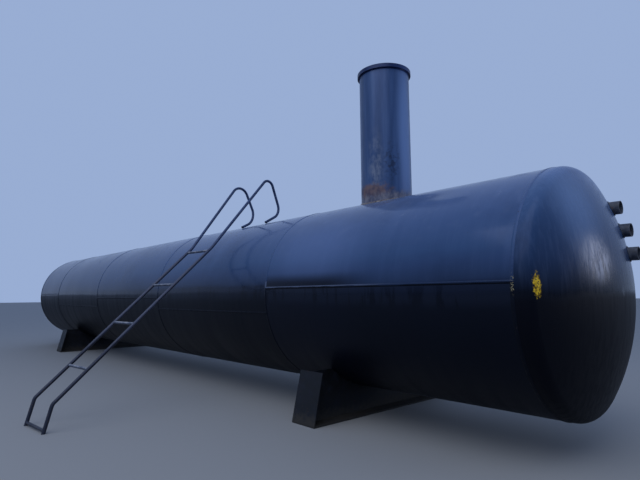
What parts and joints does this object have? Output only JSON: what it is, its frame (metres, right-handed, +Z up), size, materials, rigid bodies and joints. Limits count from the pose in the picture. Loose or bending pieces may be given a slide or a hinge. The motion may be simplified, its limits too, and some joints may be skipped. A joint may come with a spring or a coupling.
{
  "type": "horizontal pressure tank",
  "caption": "Long horizontal welded pressure tank with dished ends, a tall open neck, low splayed saddles and a hooked tube ladder.",
  "frame": {"origin": "centre of the near saddle's base, on the ground under the tank's middle line", "axes": "+X along the tank towards its near end, the one with the stubs; +Z up, along the neck; the ladder leans on the -Y side"},
  "size_m": [16.3136, 4.8499, 4.49],
  "materials": {
    "shell_paint": "glossy black enamel, brushed on, slightly wavy",
    "head_paint": "glossy black enamel with brush marks",
    "weld_paint": "weld beads under black enamel, worn bright in places",
    "neck_paint": "satin black paint, flaked and streaked",
    "neck_rust": "scorched and rusted weld",
    "saddle_paint": "dull black paint with dirt",
    "ladder_paint": "worn dark grey paint",
    "stub_paint": "dull dark grey paint"
  },
  "bodies": {
    "root": {"near_head": "head_paint", "far_head": "head_paint", "course_1_upper": "shell_paint", "course_1_lower": "shell_paint", "course_2_upper": "shell_paint", "course_2_lower": "shell_paint", "course_3_upper": "shell_paint", "course_3_lower": "shell_paint", "course_4_upper": "shell_paint", "course_4_lower": "shell_paint", "course_5_upper": "shell_paint", "course_5_lower": "shell_paint", "girth_weld_1": "weld_paint", "girth_weld_2": "weld_paint", "girth_weld_3": "weld_paint", "girth_weld_4": "weld_paint", "girth_weld_5": "weld_paint", "girth_weld_6": "weld_paint", "neck_pipe": "neck_paint", "neck_rim": "neck_paint", "neck_weld": "neck_rust", "near_saddle_base": "saddle_paint", "near_saddle_web": "saddle_paint", "near_saddle_front_plate": "saddle_paint", "near_saddle_back_plate": "saddle_paint", "far_saddle_base": "saddle_paint", "far_saddle_web": "saddle_paint", "far_saddle_front_plate": "saddle_paint", "far_saddle_back_plate": "saddle_paint", "ladder_near_rail": "ladder_paint", "ladder_far_rail": "ladder_paint", "ladder_rung_1": "ladder_paint", "ladder_rung_2": "ladder_paint", "ladder_rung_3": "ladder_paint", "ladder_rung_4": "ladder_paint", "ladder_foot_bar": "ladder_paint", "stub_top": "stub_paint", "stub_middle": "stub_paint", "stub_bottom": "stub_paint"}
  },
  "joints": []
}
